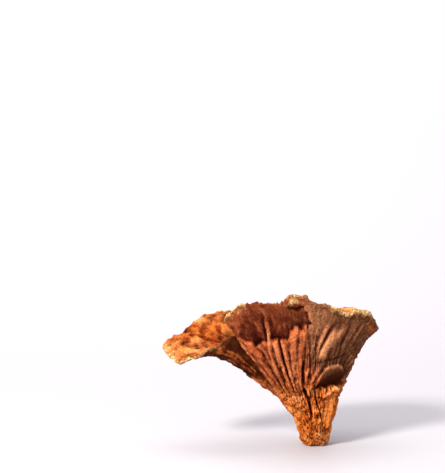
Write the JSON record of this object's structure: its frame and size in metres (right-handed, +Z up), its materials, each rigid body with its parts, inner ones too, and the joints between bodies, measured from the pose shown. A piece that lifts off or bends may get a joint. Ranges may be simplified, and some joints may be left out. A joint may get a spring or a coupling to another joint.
{
  "type": "dried lobster mushroom",
  "caption": "Dried lobster mushroom: a ribbed funnel cap with a ragged rim, a pleat and a long side tongue, on a short blunt stem.",
  "frame": {"origin": "on the flat spot under the stem, in the plane that the mushroom rests on, close to the spot's middle", "axes": "+Z up, +X away from the tongue, so the tongue reaches along -X, and -Y toward the ribbed front wall"},
  "size_m": [0.1064, 0.0566, 0.0785],
  "materials": {
    "flesh": "dry, rough, matt crust, orange on the stem and tongue, rust brown on the ribs, cream at the rim"
  },
  "bodies": {
    "root": {"mushroom": "flesh"}
  },
  "joints": []
}
